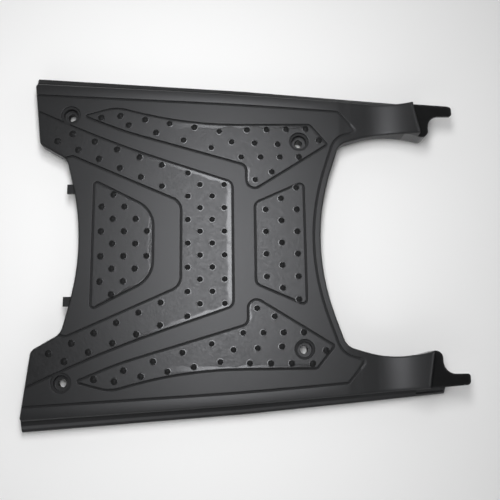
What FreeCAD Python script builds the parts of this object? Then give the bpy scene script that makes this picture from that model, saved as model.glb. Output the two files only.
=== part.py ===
"""Scooter floor panel: one moulded shell, as a parametric document in millimetres.

While it is built, x runs back from the front corners, y across and z up from the deck's upper face.
The finished panel is then placed with its origin under the middle of its box.
"""
import FreeCAD
import Part
import math
import os
import Sketcher

doc = FreeCAD.newDocument("floor_panel")
sheet = doc.addObject("Spreadsheet::Sheet", "Sizes")

SIZES = {
    # Plan
    "front_half_width": 170.0,
    "rear_half_width": 141.8,
    "side_bow": 2.4,
    "deck_length": 313.6,
    "rear_hollow": 35.4,
    "arm_length": 91.9,
    "arm_width": 34.8,
    "arm_root_inset": 38.3,
    "waist_inset": 23.8,
    "waist_setback": 44.5,
    "tongue_length": 25.5,
    "tongue_width": 10.5,
    # Shell
    "wall": 2.8,
    "flange_depth": 13.0,
    "edge_bevel": 1.2,
    # Rising rear arms
    "dip_length": 58.0,
    "dip_start_radius": 60.0,
    "rise_length": 33.5,
    "valley_depth": 3.5,
    "valley_radius": 66.0,
    "rise_angle": 44.0,
    "crest_outer_setback": 20.6,
    "crest_inner_setback": 11.0,
    "tongue_height": 6.0,
    "tongue_thickness": 3.2,
    # Side skirts
    "skirt_depth": 24.0,
    "skirt_flare_front": 11.0,
    "skirt_flare_rear": 7.0,
    "skirt_neck_depth": 6.0,
    "skirt_shoulder_depth": 11.5,
    "skirt_shoulder_radius": 6.0,
    "skirt_wall": 2.5,
    "skirt_rear_overrun": 4.0,
    # Deck field, pads and studs
    "rim_width": 12.0,
    "rear_rim_width": 7.2,
    "field_corner_reach": 18.4,
    "field_corner_inset": 24.3,
    "field_root_setback": 4.8,
    "field_root_inset": 31.4,
    "groove_width": 2.2,
    "groove_depth": 1.4,
    "pad_rise": 0.6,
    "stud_radius": 2.8,
    "stud_height": 1.9,
    "stud_sides": 6.0,
    # Bolt seats
    "front_bolt_x": 37.6,
    "front_bolt_spacing": 270.0,
    "front_seat_depth": 14.0,
    "rear_bolt_setback": 41.6,
    "rear_bolt_spacing": 212.0,
    "rear_seat_depth": 20.0,
    "bolt_hole_radius": 4.0,
    "recess_radius": 9.8,
    "recess_floor_radius": 7.4,
    "recess_depth": 7.0,
    "mouth_depth": 1.6,
    "seat_wall": 2.6,
    # Locating tabs at the front edge
    "tab_y": 57.0,
    "tab_tip_x": 36.2,
    "tab_length": 10.8,
    "tab_width": 9.5,
    "tab_thickness": 3.0,
    "tab_drop": 2.0,
    # Ribs under the deck
    "rib_thickness": 2.0,
    "rib_depth": 10.0,
    "rib_y": 70.0,
    "rib_first_x": 88.0,
    "rib_pitch_x": 76.0,
}

ARM_END = "(Sizes.deck_length + Sizes.arm_length)"
TIP_X = f"({ARM_END} + Sizes.tongue_length)"
MIDDLE_X = f"{TIP_X} / 2"
MIDDLE_Y = "((Sizes.front_half_width + Sizes.rear_half_width) / 2 + Sizes.side_bow)"
VALLEY_X = f"({ARM_END} - Sizes.rise_length)"
DIP_START_X = f"({VALLEY_X} - Sizes.dip_length)"
TONGUE_INNER_Y = "Sizes.rear_half_width - Sizes.tongue_width"

# A length that reaches past the panel from anywhere on it
REACH = "Sizes.rear_half_width"

# The depth inside the deck, under its grooves, where pads, ribs and seats are rooted
ROOT_DEPTH = "(Sizes.groove_depth + Sizes.wall) / 2"

CROSS_RIBS = 3

# A face whose normal rises less than this stands upright
UPRIGHT_RISE = 0.01


def side_y(x):
    """Returns the formula for the plan's side at a place behind its middle."""
    return f"{MIDDLE_Y} - ({MIDDLE_Y} - Sizes.rear_half_width) * ({x} - {MIDDLE_X}) / ({TIP_X} - {MIDDLE_X})"


# Outlines and stud rows whose x is measured from the deck's rear end, at the roots of the arms
FROM_REAR = ("wing", "rear_pad")

# Half outlines, from the front to the rear: corner name, x, y and corner radius.
# A number becomes a cell of the sheet, and text is a formula over cells.
OUTLINES = {
    "plan": [
        ("front_middle", 57.0, "0", 250.0),
        ("front_step", 35.3, 88.0, 15.0),
        ("horn", 7.4, 104.0, 8.0),
        ("front_corner", "0", "Sizes.front_half_width", 3.0),
        ("side", MIDDLE_X, MIDDLE_Y, 8000.0),
        ("tip_outer", TIP_X, "Sizes.rear_half_width", 4.0),
        ("tip_inner", TIP_X, TONGUE_INNER_Y, 2.5),
        ("tongue_root", ARM_END, TONGUE_INNER_Y, 12.0),
        ("arm_inner_end", ARM_END, "Sizes.rear_half_width - Sizes.arm_width", 7.0),
        ("arm_waist", f"{ARM_END} - Sizes.waist_setback", "Sizes.rear_half_width - Sizes.waist_inset", 108.0),
        ("arm_root", "Sizes.deck_length", "Sizes.rear_half_width - Sizes.arm_root_inset", 15.0),
        ("rear_middle", "Sizes.deck_length - Sizes.rear_hollow", "0", 230.0),
    ],
    "field": [
        ("front", -20.0, "Sizes.front_half_width - Sizes.rim_width", 0),
        ("side", MIDDLE_X, MIDDLE_Y + " - Sizes.rim_width", 4000.0),
        ("rear_corner", "Sizes.deck_length", side_y("Sizes.deck_length") + " - Sizes.rim_width", 3.0),
        ("arm_corner", "Sizes.deck_length + Sizes.field_corner_reach",
         "Sizes.rear_half_width - Sizes.field_corner_inset", 2.5),
        ("arm_root", "Sizes.deck_length - Sizes.field_root_setback",
         "Sizes.rear_half_width - Sizes.field_root_inset", 20.0),
        ("rear_middle", "Sizes.deck_length - Sizes.rear_hollow - Sizes.rear_rim_width", "0", 235.0),
    ],
    "wing": [
        ("tip", -263.1, 134.2, 1.6),
        ("hump", -229.6, 143.5, 35.0),
        ("hollow", -157.6, 124.2, 430.0),
        ("rear_outer", -30.1, 124.6, 6.0),
        ("rear_tip", -12.1, 102.8, 2.2),
        ("point", -96.3, 50.2, 8.4),
        ("notch", -96.3, 81.0, 8.0),
        ("inner_bend", -221.6, 117.5, 300.0),
    ],
    "chevron": [
        ("front_outer", -10.0, 145.5, 0),
        ("outer_bend", 80.5, 104.2, 1100.0),
        ("rear", 203.0, 63.2, 8.0),
    ],
    "chevron_inner": [
        ("front_edge", -10.0, 80.0, 0),
        ("front_inner", 41.0, 91.0, 3.0),
        ("inner", 151.2, 42.8, 14.0),
    ],
    "front_pad": [
        ("front", 63.5, 65.2, 3.0),
        ("rear", 123.4, 34.8, 28.0),
    ],
    "rear_pad": [
        ("front", -88.1, 41.3, 7.0),
        ("rear", -38.1, 63.3, 4.0),
    ],
    "crest": [
        ("outer", f"{ARM_END} - Sizes.crest_outer_setback", 175.0, 0),
        ("inner", f"{ARM_END} - Sizes.crest_inner_setback", 109.0, 0),
    ],
}

# Rows of studs: first x, first y, last x, last y and how many, on the side of positive y.
STUD_ROWS = {
    "wing_outer": (-225.1, 134.0, -123.8, 117.0, 5),
    "wing_inner": (-244.6, 132.0, -132.0, 99.6, 5),
    "wing_rim": (-95.4, 118.4, -34.7, 119.5, 4),
    "wing_middle": (-111.1, 105.6, -64.1, 103.0, 3),
    "wing_tail": (-21.2, 107.4, -21.2, 107.4, 1),
    "wing_lower": (-101.6, 89.4, -42.5, 89.4, 4),
    "wing_point": (-87.6, 65.5, -70.6, 73.5, 2),
    "chevron_outer": (40.4, 114.6, 131.6, 81.0, 5),
    "chevron_inner": (25.3, 107.0, 132.0, 59.0, 6),
}

# Staggered lattices: first x, step in x, columns, step in y, studs off the axis in each column.
STUD_LATTICES = {
    "chevron_bar": (194.5, -12.15, 12.1, (3, 2, 3, 3)),
    "front_pad": (117.5, -11.35, 12.6, (1, 1, 2, 2, 2)),
    "rear_pad": (-46.2, -15.7, 11.4, (3, 2, 2)),
}


def add_cells():
    """Writes every driving dimension to the sheet and gives its cell an alias."""
    cells = dict(SIZES)
    for outline, corners in OUTLINES.items():
        for corner, *values in corners:
            for axis, value in zip("xyr", values):
                if isinstance(value, float):
                    cells[f"{outline}_{corner}_{axis}"] = value
    for row, values in STUD_ROWS.items():
        for end, value in zip(("first_x", "first_y", "last_x", "last_y"), values):
            cells[f"studs_{row}_{end}"] = value
    for lattice, values in STUD_LATTICES.items():
        for part, value in zip(("first_x", "step_x", "step_y"), values):
            cells[f"studs_{lattice}_{part}"] = value
    for index, (alias, value) in enumerate(cells.items(), start=1):
        sheet.set(f"A{index}", alias)
        sheet.set(f"B{index}", str(value))
        sheet.setAlias(f"B{index}", alias)
    doc.recompute()


def value_of(formula):
    """Returns the number that a formula over the sheet's cells gives."""
    return float(sheet.evalExpression(formula))


def datum(name):
    """Returns where an outline's or a stud row's own x starts."""
    return "Sizes.deck_length" if name.startswith(FROM_REAR) else "0"


def corner_formulas(outline):
    """Returns an outline's corners as formulas for x, y and radius."""
    corners = []
    for corner, *values in OUTLINES[outline]:
        names = [f"Sizes.{outline}_{corner}_{axis}" for axis in "xyr"]
        names[0] = f"{datum(outline)} + {names[0]}"
        corners.append(tuple(v if isinstance(v, str) else n if v else "0" for v, n in zip(values, names)))
    return corners


def both_sides(half):
    """Closes a half outline with its mirror image across the x axis."""
    mirrored = [(x, f"-({y})", r) for x, y, r in reversed(half) if y != "0"]
    return half + mirrored


def outline_sketch(name, corners):
    """Draws a closed outline of straight runs and rounded corners, each bound to its cells."""
    sketch = doc.addObject("Sketcher::SketchObject", name)
    points = [FreeCAD.Vector(value_of(x), value_of(y), 0) for x, y, _ in corners]
    radii = [value_of(r) for _, _, r in corners]
    count = len(points)
    turns = []
    for i, point in enumerate(points):
        back = (points[i - 1] - point).normalize()
        ahead = (points[(i + 1) % count] - point).normalize()
        half_angle = back.getAngle(ahead) / 2
        reach = radii[i] / math.tan(half_angle)
        middle = point + (back + ahead).normalize() * (radii[i] / math.sin(half_angle))
        left_turn = back.cross(ahead).z < 0
        turns.append((point + back * reach, point + ahead * reach, middle, left_turn))
    constraints = []
    bindings = []
    lines = []
    for i in range(count):
        lines.append(sketch.addGeometry(Part.LineSegment(turns[i][1], turns[(i + 1) % count][0])))
    for i, (start, end, middle, left_turn) in enumerate(turns):
        before = lines[i - 1]
        after = lines[i]
        if radii[i]:
            first, last = (start, end) if left_turn else (end, start)
            circle = Part.Circle(middle, FreeCAD.Vector(0, 0, 1), radii[i])
            arc = sketch.addGeometry(Part.ArcOfCircle(circle, circle.parameter(first), circle.parameter(last)))
            corner = sketch.addGeometry(Part.Point(points[i]), True)
            entry, leave = (1, 2) if left_turn else (2, 1)
            constraints.append(Sketcher.Constraint("Tangent", before, 2, arc, entry))
            constraints.append(Sketcher.Constraint("Tangent", after, 1, arc, leave))
            constraints.append(Sketcher.Constraint("PointOnObject", corner, 1, before))
            constraints.append(Sketcher.Constraint("PointOnObject", corner, 1, after))
            bindings.append((len(constraints), corners[i][2]))
            constraints.append(Sketcher.Constraint("Radius", arc, radii[i]))
            held = (corner, 1)
        else:
            constraints.append(Sketcher.Constraint("Coincident", before, 2, after, 1))
            held = (after, 1)
        for kind, formula, number in zip(("DistanceX", "DistanceY"), corners[i], points[i]):
            bindings.append((len(constraints), formula))
            constraints.append(Sketcher.Constraint(kind, -1, 1, *held, number))
    sketch.addConstraint(constraints)
    for index, formula in bindings:
        sketch.setExpression(f"Constraints[{index}]", formula)
    return sketch


def extrude(name, profile, ahead, behind="0", direction=(0, 0, 1)):
    """Extrudes a closed profile to both sides of its plane."""
    solid = doc.addObject("Part::Extrusion", name)
    solid.Base = profile
    solid.DirMode = "Custom"
    solid.Dir = FreeCAD.Vector(*direction)
    solid.Solid = True
    solid.setExpression("LengthFwd", ahead)
    solid.setExpression("LengthRev", behind)
    return solid


def offset(name, profile, distance):
    """Offsets a closed profile in its own plane, outwards where the distance is positive."""
    grown = doc.addObject("Part::Offset2D", name)
    grown.Source = profile
    grown.Join = "Intersection"
    grown.setExpression("Value", distance)
    return grown


def combine(kind, name, *pieces):
    """Makes a boolean of two or more pieces, such as Part::Cut or Part::MultiFuse."""
    result = doc.addObject(kind, name)
    if kind == "Part::Cut":
        result.Base, result.Tool = pieces
    else:
        result.Shapes = list(pieces)
    return result


def mirror(name, source):
    """Copies a piece to the other side of the panel."""
    copy = doc.addObject("Part::Mirroring", name)
    copy.Source = source
    copy.Normal = FreeCAD.Vector(0, 1, 0)
    return copy


def bound(kind, name, **formulas):
    """Adds a Part primitive and binds its sizes and place to formulas."""
    piece = doc.addObject(kind, name)
    for prop, formula in formulas.items():
        target = f"Placement.Base.{prop}" if prop in "xyz" else prop
        piece.setExpression(target, formula)
    return piece


def top_edges(shape, bottom):
    """Lists the edges between a block's upper faces and its upright sides."""
    chosen = []
    for number, edge in enumerate(shape.Edges, start=1):
        if min(vertex.Z for vertex in edge.Vertexes) < bottom:
            continue
        middle = edge.valueAt((edge.FirstParameter + edge.LastParameter) / 2)
        slopes = []
        for face in shape.ancestorsOfType(edge, Part.Face):
            slopes.append(abs(face.normalAt(*face.Surface.parameter(middle)).z))
        if min(slopes) < UPRIGHT_RISE < max(slopes):
            chosen.append(number)
    return chosen


def build_shell(plan, plan_block, deck_corners):
    """Builds the hollow shell with its flat deck, rising arms and rear tongues."""
    upright = FreeCAD.Rotation(FreeCAD.Vector(1, 0, 0), 90)
    beyond_x = f"{TIP_X} + {REACH}"
    side_view = [
        (f"-{REACH}", f"-{REACH}", "0"),
        (f"-{REACH}", "0", "0"),
        (DIP_START_X, "0", "Sizes.dip_start_radius"),
        (VALLEY_X, "-Sizes.valley_depth", "Sizes.valley_radius"),
        (beyond_x, f"({beyond_x} - {VALLEY_X}) * tan(Sizes.rise_angle * 1deg) - Sizes.valley_depth", "0"),
        (beyond_x, f"-{REACH}", "0"),
    ]
    profile = outline_sketch("side_profile", side_view)
    profile.Placement.Rotation = upright
    doc.recompute()
    across = "Sizes.front_half_width + Sizes.skirt_flare_front"
    body = extrude("under_top", profile, across, across, (0, 1, 0))
    ceiling_profile = offset("ceiling_profile", profile, "-Sizes.wall")
    ceiling = extrude("under_ceiling", ceiling_profile, across, across, (0, 1, 0))
    block = combine("Part::MultiCommon", "block", plan_block, body)
    doc.recompute()
    eased = doc.addObject("Part::Chamfer", "eased_block")
    eased.Base = block
    bevel = value_of("Sizes.edge_bevel")
    lowest = -value_of("Sizes.flange_depth") + bevel
    eased.Edges = [(number, bevel, bevel) for number in top_edges(block.Shape, lowest)]

    crest = outline_sketch("crest_line", both_sides(corner_formulas("crest")) + [
        (beyond_x, "-Sizes.crest_outer_y", "0"),
        (beyond_x, "Sizes.crest_outer_y", "0"),
    ])
    doc.recompute()
    step = extrude("crest_step", crest, REACH, "-Sizes.tongue_height")
    step_cover = extrude("crest_step_cover", offset("crest_wall_line", crest, "Sizes.wall"),
                         REACH, "Sizes.wall - Sizes.tongue_height")
    below = bound("Part::Box", "below_tongues", Length=REACH, Width="2 * Sizes.front_half_width",
                  Height=f"{REACH} + Sizes.tongue_height - Sizes.tongue_thickness",
                  x=ARM_END, y="-Sizes.front_half_width", z=f"-{REACH}")
    end_wall = bound("Part::Box", "arm_end_wall", Length=REACH, Width="2 * Sizes.front_half_width",
                     Height=f"2 * {REACH}", x=f"{ARM_END} - Sizes.wall", y="-Sizes.front_half_width",
                     z=f"-{REACH}")
    inside = extrude("inside_block", offset("inside_plan", plan, "-Sizes.wall"), REACH, REACH)
    hollow = combine("Part::MultiCommon", "hollow", inside, ceiling)
    kept = combine("Part::MultiFuse", "hollow_limits", step_cover, end_wall)
    cavity = combine("Part::Cut", "cavity", hollow, kept)
    removed = combine("Part::MultiFuse", "removed", step, below, cavity)
    return combine("Part::Cut", "shell", combine("Part::MultiFuse", "decked_block", eased, deck_corners), removed)


def build_skirt():
    """Lofts the flared skirt of one side and mirrors it to the other."""
    end_x = f"{ARM_END} + Sizes.skirt_rear_overrun"
    flare = "Sizes.skirt_flare_front + (Sizes.skirt_flare_rear - Sizes.skirt_flare_front)"
    stations = [
        ("front", "0", "Sizes.front_half_width", "Sizes.skirt_flare_front"),
        ("middle", MIDDLE_X, MIDDLE_Y, f"{flare} * {MIDDLE_X} / ({end_x})"),
        ("rear", end_x, side_y(end_x), "Sizes.skirt_flare_rear"),
    ]
    bite = "Sizes.wall / 2"
    underground = "-Sizes.skirt_depth - Sizes.skirt_wall"
    sections = []
    for station, x, y, out in stations:
        outer = f"{y} + {out}"
        inner = f"{outer} - Sizes.skirt_wall"
        section = outline_sketch(f"skirt_section_{station}", [
            (f"{y} - {bite}", "-Sizes.skirt_neck_depth", "0"),
            (y, "-Sizes.skirt_neck_depth", "0"),
            (outer, "-Sizes.skirt_shoulder_depth", "Sizes.skirt_shoulder_radius"),
            (outer, underground, "0"),
            (inner, underground, "0"),
            (inner, "-Sizes.skirt_shoulder_depth - Sizes.skirt_wall",
             "Sizes.skirt_shoulder_radius - Sizes.skirt_wall"),
            (f"{y} - {bite}", "-Sizes.skirt_neck_depth - Sizes.skirt_wall", "0"),
        ])
        section.Placement.Rotation = FreeCAD.Rotation(FreeCAD.Vector(1, 1, 1), 120)
        section.setExpression("Placement.Base.x", x)
        sections.append(section)
    band = doc.addObject("Part::Loft", "skirt_band")
    band.Sections = sections
    band.Solid = True
    band.Ruled = True
    ground = bound("Part::Box", "ground", Length=f"{TIP_X} + 2 * {REACH}", Width=f"4 * {REACH}", Height=REACH,
                   x=f"-{REACH}", y=f"-2 * {REACH}", z=f"-Sizes.skirt_depth - {REACH}")
    skirt = combine("Part::Cut", "right_skirt", band, ground)
    return [skirt, mirror("left_skirt", skirt)]


def build_pads(limit):
    """Returns the deck's corners over the arms, the grooves to cut and the raised pads to add."""
    field = outline_sketch("field_outline", both_sides(corner_formulas("field")))
    chevron_half = corner_formulas("chevron")
    chevron_back = [(x, f"-({y})", r) for x, y, r in reversed(chevron_half)]
    inner_half = corner_formulas("chevron_inner")
    inner_back = [(x, f"-({y})", r) for x, y, r in inner_half]
    outlines = {
        "wing": outline_sketch("wing_outline", corner_formulas("wing")),
        "chevron": outline_sketch("chevron_outline",
                                  chevron_half + chevron_back + inner_back + list(reversed(inner_half))),
        "front_pad": outline_sketch("front_pad_outline", both_sides(corner_formulas("front_pad"))),
        "rear_pad": outline_sketch("rear_pad_outline", both_sides(corner_formulas("rear_pad"))),
    }
    doc.recompute()
    half_groove = "Sizes.groove_width / 2"
    beds = []
    plates = []
    for name, outline in outlines.items():
        bed = extrude(f"{name}_bed", offset(f"{name}_bed_line", outline, half_groove), REACH, "Sizes.groove_depth")
        plate = extrude(f"{name}_plate", offset(f"{name}_plate_line", outline, f"-{half_groove}"),
                        "Sizes.pad_rise", ROOT_DEPTH)
        beds.append(bed)
        plates.append(plate)
        if name == "wing":
            beds.append(mirror("left_wing_bed", bed))
            plates.append(mirror("left_wing_plate", plate))
    field_outer = extrude("field_outer", offset("field_outer_line", field, half_groove), REACH, "Sizes.groove_depth")
    field_inner = extrude("field_inner", offset("field_inner_line", field, f"-{half_groove}"),
                          REACH, "Sizes.groove_depth")
    field_groove = combine("Part::Cut", "field_groove", field_outer, field_inner)
    over_arms = bound("Part::Box", "over_arms", Length=REACH, Width="2 * Sizes.front_half_width", Height=REACH,
                      x=f"{DIP_START_X} - Sizes.rim_width", y="-Sizes.front_half_width", z=f"-{REACH}")
    corners = combine("Part::MultiCommon", "deck_corners", extrude("field_plate", field, "0", "Sizes.wall"), over_arms)
    pad_beds = combine("Part::MultiCommon", "pad_beds", combine("Part::MultiFuse", "bed_blocks", *beds), limit)
    pads = combine("Part::MultiCommon", "pads", combine("Part::MultiFuse", "pad_plates", *plates), limit)
    return corners, combine("Part::MultiFuse", "grooves", field_groove, pad_beds), pads


def stud_places():
    """Lists the formulas for the centre of every stud."""
    places = []
    for row, (*_, count) in STUD_ROWS.items():
        cell = f"Sizes.studs_{row}"
        for i in range(count):
            share = i / max(count - 1, 1)
            x = f"{datum(row)} + {cell}_first_x + {share} * ({cell}_last_x - {cell}_first_x)"
            y = f"{cell}_first_y + {share} * ({cell}_last_y - {cell}_first_y)"
            places.append((x, y))
            places.append((x, f"-({y})"))
    for lattice, (*_, columns) in STUD_LATTICES.items():
        cell = f"Sizes.studs_{lattice}"
        for column, count in enumerate(columns):
            x = f"{datum(lattice)} + {cell}_first_x + {column} * {cell}_step_x"
            on_axis = column % 2
            if on_axis:
                places.append((x, "0"))
            for i in range(count):
                y = f"{2 * i + 1 + on_axis} * {cell}_step_y"
                places.append((x, y))
                places.append((x, f"-({y})"))
    return places


def build_studs():
    """Copies one pointed stud, wider towards its root inside the pad, to every place of the grip pattern."""
    foot = value_of("Sizes.pad_rise")
    tip = FreeCAD.Vector(0, 0, value_of("Sizes.pad_rise + Sizes.stud_height"))
    root = value_of("Sizes.pad_rise - Sizes.groove_depth / 2")
    across = value_of("Sizes.stud_radius") * (tip.z - root) / (tip.z - foot)
    sides = round(value_of("Sizes.stud_sides"))
    turns = [2 * math.pi * (i + 0.5) / sides for i in range(sides)]
    ring = [FreeCAD.Vector(across * math.cos(turn), across * math.sin(turn), root) for turn in turns]
    faces = [Part.Face(Part.makePolygon(ring[::-1] + ring[-1:]))]
    for i in range(sides):
        faces.append(Part.Face(Part.makePolygon([ring[i - 1], ring[i], tip, ring[i - 1]])))
    stud = Part.Solid(Part.Shell(faces))
    studs = doc.addObject("Part::Feature", "studs")
    places = [FreeCAD.Vector(value_of(x), value_of(y), 0) for x, y in stud_places()]
    studs.Shape = Part.makeCompound([stud.translated(place) for place in places])
    return studs


def build_bolt_seats():
    """Returns the bolt seats to add under the deck and the recessed holes to cut through them."""
    seats = []
    holes = []
    cup_depth = "Sizes.recess_depth + Sizes.seat_wall"
    ends = {"front": "Sizes.front_bolt_x", "rear": "Sizes.deck_length - Sizes.rear_bolt_setback"}
    for end, x in ends.items():
        for side, sign in (("right", ""), ("left", "-")):
            place = {"x": x, "y": f"{sign}Sizes.{end}_bolt_spacing / 2"}
            name = f"{end}_{side}"
            seats.append(bound("Part::Cylinder", f"{name}_cup", Radius="Sizes.recess_radius + Sizes.seat_wall",
                               Height=f"{cup_depth} - {ROOT_DEPTH}", z=f"-({cup_depth})", **place))
            seats.append(bound("Part::Cylinder", f"{name}_spacer", Radius="Sizes.bolt_hole_radius + Sizes.seat_wall",
                               Height=f"Sizes.{end}_seat_depth - Sizes.recess_depth",
                               z=f"-Sizes.{end}_seat_depth", **place))
            holes.append(bound("Part::Cylinder", f"{name}_mouth", Radius="Sizes.recess_radius",
                               Height="Sizes.recess_depth", z="-Sizes.mouth_depth", **place))
            holes.append(bound("Part::Cylinder", f"{name}_recess", Radius="Sizes.recess_floor_radius",
                               Height="Sizes.recess_depth", z="-Sizes.recess_depth", **place))
            holes.append(bound("Part::Cylinder", f"{name}_hole", Radius="Sizes.bolt_hole_radius",
                               Height=f"2 * Sizes.{end}_seat_depth", z=f"-2 * Sizes.{end}_seat_depth", **place))
    return seats, holes


def build_tabs():
    """Builds the two locating tabs that stand out of the front edge."""
    tabs = []
    for side, sign in (("right", ""), ("left", "-")):
        tabs.append(bound("Part::Box", f"{side}_tab", Length="Sizes.tab_length",
                          Width="Sizes.tab_width", Height="Sizes.tab_thickness", x="Sizes.tab_tip_x",
                          y=f"{sign}Sizes.tab_y - Sizes.tab_width / 2",
                          z="-Sizes.tab_drop - Sizes.tab_thickness"))
    return tabs


def build_ribs(limit):
    """Builds the stiffening ribs under the deck, ending in the outer walls."""
    ribs = []
    height = f"Sizes.rib_depth - {ROOT_DEPTH}"
    for side, sign in (("right", ""), ("left", "-")):
        ribs.append(bound("Part::Box", f"{side}_long_rib", Length="Sizes.deck_length", Height=height,
                          Width="Sizes.rib_thickness", x="0", z="-Sizes.rib_depth",
                          y=f"{sign}Sizes.rib_y - Sizes.rib_thickness / 2"))
    for number in range(CROSS_RIBS):
        ribs.append(bound("Part::Box", f"cross_rib_{number + 1}", Length="Sizes.rib_thickness", Height=height,
                          Width="2 * Sizes.front_half_width", y="-Sizes.front_half_width", z="-Sizes.rib_depth",
                          x=f"Sizes.rib_first_x + {number} * Sizes.rib_pitch_x"))
    return combine("Part::MultiCommon", "ribs", combine("Part::MultiFuse", "rib_bars", *ribs), limit)


def check_document():
    """Stops the build if any object of the document failed."""
    for item in doc.Objects:
        if "Invalid" in item.State or "Error" in item.State:
            raise RuntimeError(f"{item.Label} failed: {item.State}")
        shape = getattr(item, "Shape", None)
        if shape is not None and (shape.isNull() or not shape.isValid()):
            raise RuntimeError(f"{item.Label} has no valid shape")


def main():
    """Builds the panel and exports it."""
    add_cells()
    plan = outline_sketch("plan_outline", both_sides(corner_formulas("plan")))
    doc.recompute()
    plan_block = extrude("plan_block", plan, REACH, "Sizes.flange_depth")
    mid_wall = extrude("mid_wall_block", offset("mid_wall_line", plan, "-Sizes.wall / 2"), REACH, REACH)
    deck_corners, grooves, pads = build_pads(mid_wall)
    shell = build_shell(plan, plan_block, deck_corners)
    grooved = combine("Part::Cut", "grooved_shell", shell, grooves)
    seats, holes = build_bolt_seats()
    whole = combine("Part::MultiFuse", "whole", grooved, pads, build_studs(), build_ribs(mid_wall),
                    *build_skirt(), *build_tabs(), *seats)
    panel = combine("Part::Cut", "floor_panel", whole, combine("Part::MultiFuse", "holes", *holes))
    panel.setExpression("Placement.Base.x", f"-({TIP_X}) / 2")
    panel.setExpression("Placement.Base.z", "Sizes.skirt_depth")
    doc.recompute()
    check_document()
    os.makedirs("parts", exist_ok=True)
    panel.Shape.exportStep(f"parts/{panel.Label}.step")


main()
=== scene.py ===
"""Dresses a scooter's moulded floor panel: satin plastic, rounded grip studs and a plain studio.

Lengths are metres in the panel's own frame: +X to the rear, +Y to the rider's right and +Z up.
"""
import logging
import math
from dataclasses import dataclass
from enum import Enum
from functools import cached_property, reduce
from operator import or_
from typing import Any

import bpy
import numpy as np
from mathutils import Matrix, Vector


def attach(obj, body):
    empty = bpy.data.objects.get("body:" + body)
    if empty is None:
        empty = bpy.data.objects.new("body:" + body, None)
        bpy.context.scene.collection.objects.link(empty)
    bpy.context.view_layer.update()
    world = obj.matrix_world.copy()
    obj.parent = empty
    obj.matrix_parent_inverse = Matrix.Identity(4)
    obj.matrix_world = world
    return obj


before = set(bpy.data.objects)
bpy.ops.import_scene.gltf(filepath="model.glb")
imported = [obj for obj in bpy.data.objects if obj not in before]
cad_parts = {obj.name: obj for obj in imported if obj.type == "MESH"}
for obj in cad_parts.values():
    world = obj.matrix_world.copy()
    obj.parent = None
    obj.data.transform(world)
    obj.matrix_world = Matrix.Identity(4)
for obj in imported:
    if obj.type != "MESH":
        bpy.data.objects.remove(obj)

PANEL_NODE = "floor_panel"
BODY = "root"
MILLIMETRE = 0.001

Band = tuple[float, float]
Point = tuple[float, float]
Colour = tuple[float, float, float, float]
Settings = dict[str, Any]
Sockets = dict[int | str, Any]

log = logging.getLogger("floor_panel")


def millimetres(first: float, second: float) -> tuple[float, float]:
    """Returns two lengths in metres that are given in millimetres."""
    return (first * MILLIMETRE, second * MILLIMETRE)


class Operation(Enum):
    """The Math operations that shader expressions use."""

    ADD = "ADD"
    SUBTRACT = "SUBTRACT"
    MULTIPLY = "MULTIPLY"
    MAXIMUM = "MAXIMUM"
    ABSOLUTE = "ABSOLUTE"


class Mix(Enum):
    """The kinds of Mix node: its data type, the sockets of its two values and its output."""

    VECTOR = ("VECTOR", 4, 5, 1)
    COLOUR = ("RGBA", 6, 7, 2)


class Wire:
    """A shader socket whose arithmetic adds Math nodes to its tree."""

    def __init__(self, shader: "Shader", socket: bpy.types.NodeSocket) -> None:
        """Keeps the socket and the tree that it belongs to."""
        self.shader = shader
        self.socket = socket

    def _combine(self, operation: Operation, first: "Wire | float", second: "Wire | float") -> "Wire":
        """Adds one Math node.

        Args:
            operation: What the node works out.
            first: The value before the operator.
            second: The value after the operator.

        Returns:
            The node's result.
        """
        return self.shader.node("ShaderNodeMath", {"operation": operation.value}, {0: first, 1: second})

    def __add__(self, other: "Wire | float") -> "Wire":
        """Adds a value to this one."""
        return self._combine(Operation.ADD, self, other)

    def __radd__(self, other: float) -> "Wire":
        """Adds this value to a number."""
        return self._combine(Operation.ADD, other, self)

    def __sub__(self, other: "Wire | float") -> "Wire":
        """Takes a value from this one."""
        return self._combine(Operation.SUBTRACT, self, other)

    def __rsub__(self, other: float) -> "Wire":
        """Takes this value from a number."""
        return self._combine(Operation.SUBTRACT, other, self)

    def __mul__(self, other: "Wire | float") -> "Wire":
        """Multiplies this value by another."""
        return self._combine(Operation.MULTIPLY, self, other)

    def __rmul__(self, other: float) -> "Wire":
        """Multiplies a number by this value."""
        return self._combine(Operation.MULTIPLY, other, self)

    def __or__(self, other: "Wire") -> "Wire":
        """Returns the larger of two masks."""
        return self._combine(Operation.MAXIMUM, self, other)

    def __abs__(self) -> "Wire":
        """Returns the value without its sign."""
        return self._combine(Operation.ABSOLUTE, self, 0.0)


@dataclass(frozen=True)
class Pattern:
    """A noise pattern: the length of one cell, the number of finer layers and their strength."""

    pitch: float
    detail: float
    roughness: float = 0.5


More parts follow.
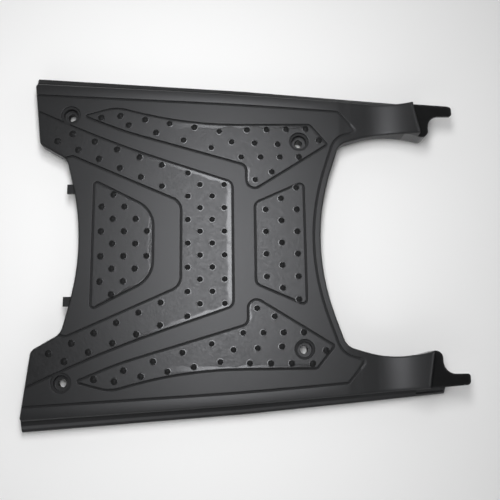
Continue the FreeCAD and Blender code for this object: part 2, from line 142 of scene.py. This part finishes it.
class Shader:
    """A material's node tree, built node by node."""

    def __init__(self, name: str) -> None:
        """Makes an empty material of that name."""
        self.material = bpy.data.materials.new(name)
        self.material.use_nodes = True
        self.tree = self.material.node_tree
        self.tree.nodes.clear()

    def add(
        self, kind: str, settings: Settings | None = None, inputs: Sockets | None = None,
    ) -> bpy.types.Node:
        """Adds a node, sets it up and feeds its sockets.

        Args:
            kind: The node's type.
            settings: Properties of the node, set before its sockets.
            inputs: A number, colour or Wire for each socket, by index or name.

        Returns:
            The node.
        """
        made = self.tree.nodes.new(kind)
        for name, value in (settings or {}).items():
            setattr(made, name, value)
        for key, value in (inputs or {}).items():
            if isinstance(value, Wire):
                self.tree.links.new(value.socket, made.inputs[key])
            else:
                made.inputs[key].default_value = value
        return made

    def node(
        self,
        kind: str,
        settings: Settings | None = None,
        inputs: Sockets | None = None,
        output: int | str = 0,
    ) -> Wire:
        """Adds a node and picks one of its outputs.

        Args:
            kind: The node's type.
            settings: Properties of the node, set before its sockets.
            inputs: A number, colour or Wire for each socket, by index or name.
            output: Which of its outputs to return, by index or name.

        Returns:
            The chosen output.
        """
        return Wire(self, self.add(kind, settings, inputs).outputs[output])

    def axes(self, vector: Wire) -> list[Wire]:
        """Splits a vector into x, y and z."""
        split = self.add("ShaderNodeSeparateXYZ", inputs={"Vector": vector})
        return [Wire(self, output) for output in split.outputs]

    def ramp(self, value: Wire, low: float, high: float, start: float = 0.0, end: float = 1.0) -> Wire:
        """Carries a value smoothly from start, where it is low, to end, where it is high.

        Args:
            value: The value to read.
            low: Where the change begins.
            high: Where the change ends.
            start: The result at and below low.
            end: The result at and above high.

        Returns:
            The eased value.
        """
        return self.node(
            "ShaderNodeMapRange",
            {"interpolation_type": "SMOOTHSTEP"},
            {"Value": value, "From Min": low, "From Max": high, "To Min": start, "To Max": end},
        )

    def rise(self, value: Wire, level: float, band: Band) -> Wire:
        """Goes from 0 to 1 over a band about a level."""
        return self.ramp(value, level + band[0], level + band[1])

    def fall(self, value: Wire, level: float, band: Band) -> Wire:
        """Goes from 1 to 0 over a band about a level."""
        return self.ramp(value, level + band[0], level + band[1], 1.0, 0.0)

    def blend(self, kind: Mix, share: Wire, first: Colour | Wire, second: Colour | Wire) -> Wire:
        """Mixes two colours or two vectors.

        Args:
            kind: Which of the two they are.
            share: How much of the second shows.
            first: What shows where the share is 0.
            second: What shows where the share is 1.

        Returns:
            The mixture.
        """
        data_type, first_socket, second_socket, output = kind.value
        sockets = {"Factor": share, first_socket: first, second_socket: second}
        return self.node("ShaderNodeMix", {"data_type": data_type}, sockets, output)

    def noise(self, place: Wire, pattern: Pattern) -> Wire:
        """Adds a noise pattern.

        Args:
            place: The coordinates that it follows.
            pattern: Its sizes.

        Returns:
            The pattern, about 0.5 on average.
        """
        return self.node("ShaderNodeTexNoise", inputs={
            "Vector": place,
            "Scale": 1 / pattern.pitch,
            "Detail": pattern.detail,
            "Roughness": pattern.roughness,
        })

    def surface(self, shader: Wire) -> bpy.types.Material:
        """Ends the tree in a surface output and returns the material."""
        self.add("ShaderNodeOutputMaterial", inputs={"Surface": shader})
        return self.material


def grey(level: float, warmth: float = 0.0) -> Colour:
    """Works out a nearly neutral linear colour.

    Args:
        level: Its brightness.
        warmth: The share by which red is raised and blue lowered.

    Returns:
        The colour, opaque.
    """
    return (level * (1 + warmth), level, level * (1 - warmth), 1.0)


@dataclass(frozen=True)
class PanelSizes:
    """Heights of the panel's faces above the floor, and its plan."""

    deck: float = 24.0 * MILLIMETRE
    pad: float = 24.6 * MILLIMETRE
    stud_tip: float = 26.5 * MILLIMETRE
    groove: float = 22.6 * MILLIMETRE
    tongue: float = 30.0 * MILLIMETRE
    skirt_top: float = 18.0 * MILLIMETRE
    skirt_line: float = 14.8 * MILLIMETRE
    half_length: float = 215.5 * MILLIMETRE
    front_half_width: float = 170.0 * MILLIMETRE
    rear_half_width: float = 141.8 * MILLIMETRE
    side_bow: float = 2.4 * MILLIMETRE
    rim_width: float = 12.0 * MILLIMETRE
    rim_end: float = 60.0 * MILLIMETRE
    deck_end: float = 112.0 * MILLIMETRE
    crest: float = 165.0 * MILLIMETRE

    @property
    def half_width(self) -> float:
        """The half width at the middle of a straight side."""
        return (self.front_half_width + self.rear_half_width) / 2

    @property
    def side_taper(self) -> float:
        """How much narrower each side gets for every metre to the rear."""
        return (self.front_half_width - self.rear_half_width) / (2 * self.half_length)


@dataclass(frozen=True)
class Bands:
    """Where each zone's mask starts and ends: offsets from the size that the zone goes by.

    The band of flat faces is of the slope's cosine.
    """

    flat: Band = (0.8, 0.95)
    deck_end: Band = millimetres(-2.0, 0.0)
    arm_start: Band = millimetres(-6.0, 6.0)
    pad: Band = millimetres(-0.3, -0.1)
    collar: Band = millimetres(0.01, 0.025)
    stud: Band = millimetres(0.1, 0.3)
    below_deck: Band = millimetres(-1.0, -0.3)
    groove_bed: Band = millimetres(-1.0, -0.7)
    crest: Band = millimetres(0.0, 1.0)
    tongue: Band = millimetres(0.2, 0.6)
    skirt_side: Band = millimetres(-1.5, 0.0)
    skirt_top: Band = millimetres(0.0, 1.0)
    skirt_line: Band = millimetres(0.4, 1.2)


@dataclass(frozen=True)
class Margin:
    """A smooth strip along a pad's edge, drawn on one side and mirrored to the other.

    Start and end are x and y on the edge, and the strip lies to the left of the way between them.
    It is whole over the core's share of its width, and starts to fade at a share of its length.
    """

    start: Point
    end: Point
    width: float
    core_share: float = 0.6
    fade_share: float = 0.7
    outside: Band = millimetres(-1.5, -0.5)
    beginning: Band = millimetres(-3.0, 3.0)

    def mask(self, shader: Shader, along: Wire, across: Wire, waver: Wire) -> Wire:
        """Marks the strip.

        The distance from the edge is the dot product with its normal, and the place along it
        the dot product with its direction.

        Args:
            shader: The tree to add to.
            along: The surface's x.
            across: The surface's y without its sign.
            waver: How much the strip's inner side strays.

        Returns:
            1 on the strip and 0 off it.
        """
        origin = np.array(self.start)
        way = np.array(self.end) - origin
        length = float(np.linalg.norm(way))
        unit = way / length
        normal = np.array([-unit[1], unit[0]])
        inward = along * float(normal[0]) + across * float(normal[1]) - float(origin @ normal)
        onward = along * float(unit[0]) + across * float(unit[1]) - float(origin @ unit)
        strip = shader.ramp(inward + waver, self.core_share * self.width, self.width, 1.0, 0.0)
        inside = shader.rise(inward, 0.0, self.outside)
        begun = shader.rise(onward, 0.0, self.beginning)
        ended = shader.ramp(onward, self.fade_share * length, length, 1.0, 0.0)
        return strip * inside * begun * ended


# The pads' edges that end in a smooth strip, on the side of positive y
PAD_MARGINS = (
    Margin(millimetres(-12.5, 0.0), millimetres(-12.5, 72.0), 7.5 * MILLIMETRE),
    Margin(millimetres(-12.5, 63.2), millimetres(-135.0, 104.2), 5.0 * MILLIMETRE),
    Margin(millimetres(68.0, 124.6), millimetres(-90.0, 124.2), 4.5 * MILLIMETRE),
    Margin(millimetres(1.8, 78.0), millimetres(1.8, 52.0), 4.0 * MILLIMETRE),
    Margin(millimetres(-92.1, 0.0), millimetres(-92.1, 40.0), 5.0 * MILLIMETRE),
    Margin(millimetres(-92.1, 34.8), millimetres(-152.0, 65.2), 3.5 * MILLIMETRE),
)


@dataclass(frozen=True)
class Zones:
    """Masks of the panel's zones, found by place, height and slope: 1 in a zone and 0 outside it."""

    shader: Shader
    place: Wire
    waver: Wire
    sizes: PanelSizes
    bands: Bands
    margins: tuple[Margin, ...]

    @cached_property
    def axes(self) -> list[Wire]:
        """The surface's x, y and z."""
        return self.shader.axes(self.place)

    @property
    def along(self) -> Wire:
        """The surface's x."""
        return self.axes[0]

    @property
    def height(self) -> Wire:
        """The surface's z."""
        return self.axes[2]

    @cached_property
    def across(self) -> Wire:
        """The surface's y without its sign."""
        return abs(self.axes[1])

    @cached_property
    def outboard(self) -> Wire:
        """The distance out from the straight line between a side's ends."""
        return self.across + self.along * self.sizes.side_taper - self.sizes.half_width

    @cached_property
    def deck(self) -> Wire:
        """All that lies in front of the arms."""
        return self.shader.fall(self.along, self.sizes.deck_end, self.bands.deck_end)

    @cached_property
    def pad(self) -> Wire:
        """The raised pads and what stands on them."""
        return self.shader.rise(self.height, self.sizes.pad, self.bands.pad) * self.deck

    @cached_property
    def collar(self) -> Wire:
        """The studs with their collars."""
        return self.shader.rise(self.height, self.sizes.pad, self.bands.collar) * self.deck

    @cached_property
    def stud(self) -> Wire:
        """The studs without their collars."""
        return self.shader.rise(self.height, self.sizes.pad, self.bands.stud) * self.deck

    @cached_property
    def margin(self) -> Wire:
        """The pads' smooth strips, the stronger one where two of them meet."""
        strips = [strip.mask(self.shader, self.along, self.across, self.waver) for strip in self.margins]
        return reduce(or_, strips) * self.pad

    @cached_property
    def groove(self) -> Wire:
        """Finds what lies below the deck, no deeper than the grooves, and faces up.

        Returns:
            The flat beds of the grooves.
        """
        facing = self.shader.node("ShaderNodeNewGeometry", output="True Normal")
        flat = self.shader.rise(self.shader.axes(facing)[2], 0.0, self.bands.flat)
        below = self.shader.fall(self.height, self.sizes.deck, self.bands.below_deck)
        bed = self.shader.rise(self.height, self.sizes.groove, self.bands.groove_bed)
        return below * bed * flat * self.deck

    @cached_property
    def arm(self) -> Wire:
        """The rear arms."""
        return self.shader.rise(self.along, self.sizes.deck_end, self.bands.arm_start)

    @cached_property
    def tongue(self) -> Wire:
        """The tongues behind the arms' crests."""
        low = self.shader.fall(self.height, self.sizes.tongue, self.bands.tongue)
        return low * self.shader.rise(self.along, self.sizes.crest, self.bands.crest)

    @cached_property
    def skirt(self) -> Wire:
        """The skirts along the sides."""
        beside = self.shader.rise(self.outboard, 0.0, self.bands.skirt_side)
        return beside * self.shader.fall(self.height, self.sizes.skirt_top, self.bands.skirt_top)

    @cached_property
    def skirt_line(self) -> Wire:
        """The line along a skirt's shoulder."""
        return self.shader.fall(abs(self.height - self.sizes.skirt_line), 0.0, self.bands.skirt_line)

    @cached_property
    def rim(self) -> Wire:
        """Works out the rim's convex section along a bowed side.

        The bow is a parabola along the side, and the section is one across the rim: 1 along the
        rim's middle and 0 at its two edges.

        Returns:
            The section's height, from 0 to 1.
        """
        share = self.along * (1 / self.sizes.half_length)
        past_edge = self.outboard - (1 - share * share) * self.sizes.side_bow
        from_middle = abs(past_edge * (2 / self.sizes.rim_width) + 1)
        within = self.shader.node("ShaderNodeMapRange", inputs={"Value": from_middle})
        ending = self.shader.ramp(self.along, self.sizes.rim_end, self.sizes.deck_end, 1.0, 0.0)
        return (1 - within * within) * ending


@dataclass(frozen=True)
class SatinPlastic:
    """Black injection-moulded plastic: satin deck, grained pads with smooth margins, polished tongues."""

    name: str
    sizes: PanelSizes = PanelSizes()
    bands: Bands = Bands()
    margins: tuple[Margin, ...] = PAD_MARGINS
    base: float = 0.0055
    faded: float = 0.0085
    faded_warmth: float = -0.02
    # painted shade: the darker colour given to the groove beds
    painted_groove_shade: float = 0.003
    cloud_share: float = 0.7
    shade_band: Band = (0.3, 0.7)
    roughness: float = 0.46
    roughness_spread: float = 0.04
    index: float = 1.47
    sheen_tint: Colour = (0.95, 0.96, 1.0, 1.0)
    pad_polish: float = 0.03
    margin_polish: float = 0.17
    collar_polish: float = 0.18
    tongue_polish: float = 0.24
    line_polish: float = 0.5
    stud_dullness: float = 0.3
    groove_dullness: float = 0.26
    skirt_dullness: float = 0.35
    speckle_share: float = 0.22
    margin_waver: float = 6.0 * MILLIMETRE
    grain_depth: float = 0.02 * MILLIMETRE
    pebble_depth: float = 0.1 * MILLIMETRE
    rim_crown: float = 0.42 * MILLIMETRE
    edge_radius: float = 0.9 * MILLIMETRE
    edge_samples: int = 6
    arm_radius: float = 3.5 * MILLIMETRE
    arm_samples: int = 8
    clouds: Pattern = Pattern(60.0 * MILLIMETRE, 4.0, 0.6)
    mottling: Pattern = Pattern(4.0 * MILLIMETRE, 3.0, 0.6)
    straying: Pattern = Pattern(14.0 * MILLIMETRE, 1.0)
    speckles: Pattern = Pattern(1.82 * MILLIMETRE, 1.0)
    grain: Pattern = Pattern(0.45 * MILLIMETRE, 2.0)
    pebbles: Pattern = Pattern(2.6 * MILLIMETRE, 2.0)

    def _colour(self, shader: Shader, zones: Zones, cloud: Wire, mottle: Wire) -> Wire:
        """Mixes fresh and faded black in clouds, with painted shade that darkens the groove beds.

        Args:
            shader: The tree to add to.
            zones: The panel's zones.
            cloud: The broad pattern.
            mottle: The finer pattern.

        Returns:
            The base colour.
        """
        mixed = cloud * self.cloud_share + mottle * (1 - self.cloud_share)
        shade = shader.rise(mixed, 0.0, self.shade_band)
        black = shader.blend(Mix.COLOUR, shade, grey(self.base), grey(self.faded, self.faded_warmth))
        # the groove beds get a darker colour here: painted shade
        return shader.blend(Mix.COLOUR, zones.groove, black, grey(self.painted_groove_shade))

    def _finish(self, speckle: Wire, zones: Zones, cloud: Wire, mottle: Wire) -> Wire:
        """Adds up what polishes and what dulls each zone.

        Args:
            speckle: The pads' fine spots, from -0.5 to 0.5.
            zones: The panel's zones.
            cloud: The broad pattern.
            mottle: The finer pattern.

        Returns:
            The roughness.
        """
        finish = (cloud + mottle - 1) * self.roughness_spread + self.roughness
        finish = finish - zones.pad * self.pad_polish - zones.margin * self.margin_polish
        finish = finish - zones.collar * self.collar_polish - zones.tongue * self.tongue_polish
        finish = finish + zones.groove * self.groove_dullness + zones.stud * self.stud_dullness
        finish = finish + speckle * self.speckle_share * zones.pad * (1 - zones.margin)
        return finish + zones.skirt * (self.skirt_dullness - zones.skirt_line * self.line_polish)

    def _normal(self, shader: Shader, place: Wire, zones: Zones) -> Wire:
        """Rounds the edges, more so on the arms, and adds the rim's crown, the grain and the pads' pebbles.

        Args:
            shader: The tree to add to.
            place: The surface's own coordinates.
            zones: The panel's zones.

        Returns:
            The surface's normal.
        """
        crisp = shader.node("ShaderNodeBevel", {"samples": self.edge_samples}, {"Radius": self.edge_radius})
        soft = shader.node("ShaderNodeBevel", {"samples": self.arm_samples}, {"Radius": self.arm_radius})
        rounded = shader.blend(Mix.VECTOR, zones.arm, crisp, soft)
        coarse = shader.noise(place, self.pebbles) * zones.pad * (1 - zones.margin) * (1 - zones.collar)
        relief = shader.noise(place, self.grain) * self.grain_depth + coarse * self.pebble_depth
        relief = relief + zones.rim * self.rim_crown
        return shader.node("ShaderNodeBump", inputs={
            "Strength": 1.0,
            "Distance": 1.0,
            "Height": relief,
            "Normal": rounded,
        })

    def make(self) -> bpy.types.Material:
        """Builds the material.

        Returns:
            The finished material.
        """
        shader = Shader(self.name)
        place = shader.node("ShaderNodeTexCoord", output="Object")
        waver = (shader.noise(place, self.straying) - 0.5) * self.margin_waver
        zones = Zones(shader, place, waver, self.sizes, self.bands, self.margins)
        cloud = shader.noise(place, self.clouds)
        mottle = shader.noise(place, self.mottling)
        speckle = shader.noise(place, self.speckles) - 0.5
        return shader.surface(shader.node("ShaderNodeBsdfPrincipled", inputs={
            "Base Color": self._colour(shader, zones, cloud, mottle),
            "Roughness": self._finish(speckle, zones, cloud, mottle),
            "Normal": self._normal(shader, place, zones),
            "IOR": self.index,
            "Specular Tint": self.sheen_tint,
        }))


def mesh_object(name: str, points: np.ndarray, faces: list[np.ndarray]) -> bpy.types.Object:
    """Makes a smooth-shaded mesh object at the origin.

    Args:
        name: The piece's name.
        points: Corners, one row each.
        faces: Groups of faces with equally many sides, a row of corner numbers for each face.

    Returns:
        The object, linked to the scene.
    """
    mesh = bpy.data.meshes.new(name)
    mesh.from_pydata(points.tolist(), [], [face for group in faces for face in group.tolist()])
    mesh.polygons.foreach_set("use_smooth", np.ones(len(mesh.polygons), dtype=bool))
    mesh.update()
    made = bpy.data.objects.new(name, mesh)
    bpy.context.scene.collection.objects.link(made)
    return made


@dataclass(frozen=True)
class FloorPanel:
    """The panel's own solid, whose mesh stays as it is."""

    plastic: SatinPlastic = SatinPlastic("satin_plastic")

    def dress(self, panel: bpy.types.Object) -> None:
        """Gives the solid its finish.

        Args:
            panel: The panel's solid.
        """
        panel.data.materials.clear()
        panel.data.materials.append(self.plastic.make())


@dataclass(frozen=True)
class GripStuds:
    """The domed studs of the deck's grip pattern, one over each pointed stud of the solid."""

    sizes: PanelSizes = PanelSizes()
    foot_radius: float = 2.85 * MILLIMETRE
    crown_rise: float = 1.98 * MILLIMETRE
    fullness: float = 1.2
    collar_radius: float = 3.6 * MILLIMETRE
    collar_rise: float = 0.04 * MILLIMETRE
    collar_climb: float = 0.045 * MILLIMETRE
    sink: float = 0.1 * MILLIMETRE
    tip_radius: float = 0.01 * MILLIMETRE
    tip_tolerance: float = 0.02 * MILLIMETRE
    tip_decimals: int = 5
    edge_radius: float = 0.2 * MILLIMETRE
    dome_index: float = 1.33
    rings: int = 4
    segments: int = 12

    def centres(self, panel: bpy.types.Object) -> np.ndarray:
        """Finds the tip of every stud in the solid.

        Args:
            panel: The panel's solid.

        Returns:
            One row of x and y for each stud.
        """
        corners = np.empty(len(panel.data.vertices) * 3, dtype=np.float32)
        panel.data.vertices.foreach_get("co", corners)
        corners = corners.reshape(-1, 3).astype(float)
        level = np.abs(corners[:, 2] - self.sizes.stud_tip) < self.tip_tolerance
        tips = corners[level & (corners[:, 0] < self.sizes.deck_end), :2]
        return np.unique(np.round(tips, self.tip_decimals), axis=0)

    def profile(self) -> list[np.ndarray]:
        """Works out the stud's half section.

        A low collar climbs a little towards the dome, and the dome on it is a superellipse:
        (r / foot)^n + (h / rise)^n = 1.

        Returns:
            The collar's wall, its face and the dome, each with a row of radius and height for each ring.
        """
        climb = np.linspace(0.0, 1.0, self.rings) * math.pi / 2
        start = self.collar_rise + self.collar_climb
        radius = self.foot_radius * np.cos(climb) ** (2 / self.fullness)
        height = start + (self.crown_rise - start) * np.sin(climb) ** (2 / self.fullness)
        wall = np.array([(self.collar_radius, -self.sink), (self.collar_radius, self.collar_rise)])
        face = np.array([(self.collar_radius, self.collar_rise), (self.foot_radius, start)])
        return [wall, face, np.column_stack([radius, height])]

    def turned(self, run: np.ndarray) -> tuple[np.ndarray, np.ndarray]:
        """Turns one run of the half section about an upright axis.

        Each ring's corners lie at its radius times the cosine and the sine of equal steps of a turn.

        Args:
            run: A row of radius and height for each ring.

        Returns:
            The corners of all rings, and a row of four corner numbers for each face between two rings.
        """
        turn = np.linspace(0.0, 2 * math.pi, self.segments, endpoint=False)
        radius, height = run[:, :1], run[:, 1:]
        level = np.repeat(height, turn.size, 1)
        corners = np.stack([radius * np.cos(turn), radius * np.sin(turn), level], axis=-1)
        row, column = np.meshgrid(np.arange(len(run) - 1), np.arange(turn.size), indexing="ij")
        beside = (column + 1) % turn.size
        faces = np.stack([
            row * turn.size + column, row * turn.size + beside,
            (row + 1) * turn.size + beside, (row + 1) * turn.size + column,
        ], axis=-1)
        return corners.reshape(-1, 3), faces.reshape(-1, 4)

    def build(self, panel: bpy.types.Object) -> bpy.types.Object:
        """Sets the turned runs on every stud's place, with a crease between runs.

        The last ring of the dome has no width, so its faces are triangles.

        Args:
            panel: The panel's solid, which gives the studs' places.

        Returns:
            All the studs as one object, whose first finish is the collars' and whose second the domes'.
        """
        middles = self.centres(panel)
        spots = np.column_stack([middles, np.full(len(middles), self.sizes.pad)])
        points = []
        faces = []
        finishes = []
        used = 0
        for run in self.profile():
            ring, one = self.turned(run)
            starts = used + np.arange(len(middles)) * len(ring)
            made = one[None] + starts[:, None, None]
            is_dome = bool(run[-1, 0] < self.tip_radius)
            if is_dome:
                faces.append(made[:, -self.segments:, (0, 1, 3)].reshape(-1, 3))
                made = made[:, :-self.segments]
            faces.append(made.reshape(-1, 4))
            points.append((spots[:, None] + ring[None]).reshape(-1, 3))
            finishes.append(np.full(len(middles) * len(one), is_dome, dtype=np.int32))
            used += len(middles) * len(ring)
        studs = mesh_object("grip_studs", np.concatenate(points), faces)
        studs.data.polygons.foreach_set("material_index", np.concatenate(finishes))
        return studs

    def dress(self, studs: bpy.types.Object) -> None:
        """Gives collars and domes their finishes and ties the studs to the panel.

        Args:
            studs: The studs' object.
        """
        collar = SatinPlastic("collar_plastic", edge_radius=self.edge_radius)
        dome = SatinPlastic("stud_plastic", index=self.dome_index, edge_radius=self.edge_radius)
        studs.data.materials.append(collar.make())
        studs.data.materials.append(dome.make())
        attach(studs, BODY)


@dataclass(frozen=True)
class PhotoCamera:
    """The camera, at the photograph's place and angle."""

    place: tuple[float, float, float] = (-0.0183, -0.1265, 0.6612)
    tilt_degrees: float = 10.592
    yaw_degrees: float = -2.04
    roll_degrees: float = -0.796
    lens: float = 46.8
    sensor_width: float = 36.0
    nearest: float = 0.01
    farthest: float = 20.0

    def make(self) -> None:
        """Makes the camera and hands it to the scene."""
        data = bpy.data.cameras.new("camera")
        data.lens = self.lens
        data.sensor_width = self.sensor_width
        data.clip_start = self.nearest
        data.clip_end = self.farthest
        camera = bpy.data.objects.new("camera", data)
        turn = (
            Matrix.Rotation(math.radians(self.yaw_degrees), 4, "Y")
            @ Matrix.Rotation(math.radians(self.tilt_degrees), 4, "X")
            @ Matrix.Rotation(math.radians(self.roll_degrees), 4, "Z")
        )
        camera.matrix_world = Matrix.Translation(self.place) @ turn
        bpy.context.scene.collection.objects.link(camera)
        bpy.context.scene.camera = camera


@dataclass(frozen=True)
class SoftBox:
    """A rectangular lamp that looks at one point."""

    name: str
    place: tuple[float, float, float]
    target: tuple[float, float, float]
    width: float
    depth: float
    power: float

    def make(self) -> None:
        """Makes the lamp, which the camera doesn't see."""
        data = bpy.data.lights.new(self.name, "AREA")
        data.shape = "RECTANGLE"
        data.size = self.width
        data.size_y = self.depth
        data.energy = self.power
        lamp = bpy.data.objects.new(self.name, data)
        lamp.location = self.place
        lamp.visible_camera = False
        aim = Vector(self.target) - Vector(self.place)
        lamp.rotation_euler = aim.to_track_quat("-Z", "Y").to_euler()
        bpy.context.scene.collection.objects.link(lamp)


@dataclass(frozen=True)
class Studio:
    """A plain pale floor under soft light, whiter towards the panel's front: that whiteness is painted
    light falloff in its colour.
    """

    floor_size: float = 6.0
    # painted light falloff: the floor's colour near the panel's front, then away from it
    painted_light_level: float = 0.845
    painted_shade_level: float = 0.74
    fade_band: Band = (-0.25, 0.34)
    fade_slant: float = 0.6
    floor_roughness: float = 0.9
    floor_sheen: float = 0.2
    fill: float = 0.08
    lamps: tuple[SoftBox, ...] = (
        SoftBox("key", (-0.03, 0.1, 0.6), (-0.03, 0.1, 0.0), 0.16, 0.5, 4.0),
        SoftBox("side", (-0.1, -0.9, 0.5), (0.0, 0.0, 0.0), 1.0, 0.5, 1.5),
    )
    screens: int = 8
    screen_reach: float = 1.8
    screen_height: float = 0.85
    screen_width: float = 1.45
    screen_depth: float = 1.1
    screen_power: float = 2.4

    def floor(self) -> None:
        """Lays the floor at the level of the panel's lower edges."""
        half = self.floor_size / 2
        points = np.array([(-half, -half, 0.0), (half, -half, 0.0), (half, half, 0.0), (-half, half, 0.0)])
        floor = mesh_object("studio_floor", points, [np.array([[0, 1, 2, 3]])])
        shader = Shader("studio_floor")
        place = shader.node("ShaderNodeTexCoord", output="Object")
        along, across, _ = shader.axes(place)
        # painted light: the floor colour fades from whiter to greyer, standing in for the lamps' falloff
        painted_falloff = shader.rise(along + across * self.fade_slant, 0.0, self.fade_band)
        paper = shader.node("ShaderNodeBsdfPrincipled", inputs={
            "Base Color": shader.blend(Mix.COLOUR, painted_falloff, grey(self.painted_light_level), grey(self.painted_shade_level)),
            "Roughness": self.floor_roughness,
            "Specular IOR Level": self.floor_sheen,
        })
        floor.data.materials.append(shader.surface(paper))

    def world(self) -> None:
        """Fills the room with even light."""
        world = bpy.data.worlds.new("studio")
        world.use_nodes = True
        backdrop = world.node_tree.nodes["Background"]
        backdrop.inputs["Color"].default_value = grey(1.0)
        backdrop.inputs["Strength"].default_value = self.fill
        bpy.context.scene.world = world

    def ring(self) -> list[SoftBox]:
        """Places dim screens around the panel, which it mirrors when it is seen from low down.

        Returns:
            The screens.
        """
        made = []
        for number in range(self.screens):
            turn = 2 * math.pi * number / self.screens
            x = self.screen_reach * math.cos(turn)
            y = self.screen_reach * math.sin(turn)
            made.append(SoftBox(
                f"screen_{number + 1}", (x, y, self.screen_height), (0.0, 0.0, 0.0),
                self.screen_width, self.screen_depth, self.screen_power,
            ))
        return made

    def make(self) -> None:
        """Sets up floor, world and lamps."""
        self.floor()
        self.world()
        for lamp in [*self.lamps, *self.ring()]:
            lamp.make()
        bpy.context.scene.view_settings.view_transform = "Standard"


def main() -> None:
    """Dresses the panel, adds the studs and sets up the studio."""
    logging.basicConfig(level=logging.INFO, format="%(message)s")
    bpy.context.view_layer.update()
    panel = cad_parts[PANEL_NODE]
    FloorPanel().dress(panel)
    grip = GripStuds()
    studs = grip.build(panel)
    grip.dress(studs)
    for piece in (panel, studs):
        log.info("%s: %d faces", piece.name, len(piece.data.polygons))

    Studio().make()
    PhotoCamera().make()


if __name__ == "__main__":
    main()
